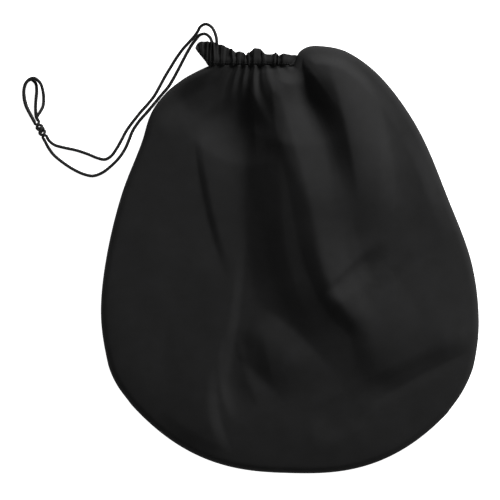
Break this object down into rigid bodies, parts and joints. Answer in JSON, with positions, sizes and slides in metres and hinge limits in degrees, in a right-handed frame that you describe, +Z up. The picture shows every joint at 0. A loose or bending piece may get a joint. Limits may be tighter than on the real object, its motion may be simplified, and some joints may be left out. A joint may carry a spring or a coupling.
{
  "type": "motorcycle helmet bag",
  "caption": "Soft drawstring sack for a motorcycle helmet, two sewn cloth panels with a gathered hem and a knotted cord, lying empty with its mouth drawn shut.",
  "frame": {"origin": "under the middle of the bag's outline, on the surface that the bag lies on; the free cord is not counted", "axes": "+Y from the bag's bottom to its mouth, +X across it to the right as seen from above, +Z up from the surface"},
  "size_m": [0.5437, 0.5331, 0.0504],
  "materials": {
    "bag_cloth": "matte brushed black knit with a faint soft sheen",
    "cord": "round braided black polyester cord"
  },
  "bodies": {
    "root": {"front_panel": "bag_cloth", "back_panel": "bag_cloth", "casing": "bag_cloth", "drawcord_in_casing": "cord", "drawcord_strand_a": "cord", "drawcord_strand_b": "cord", "drawcord_loop_a": "cord", "drawcord_loop_b": "cord", "drawcord_knot": "cord"}
  },
  "joints": []
}
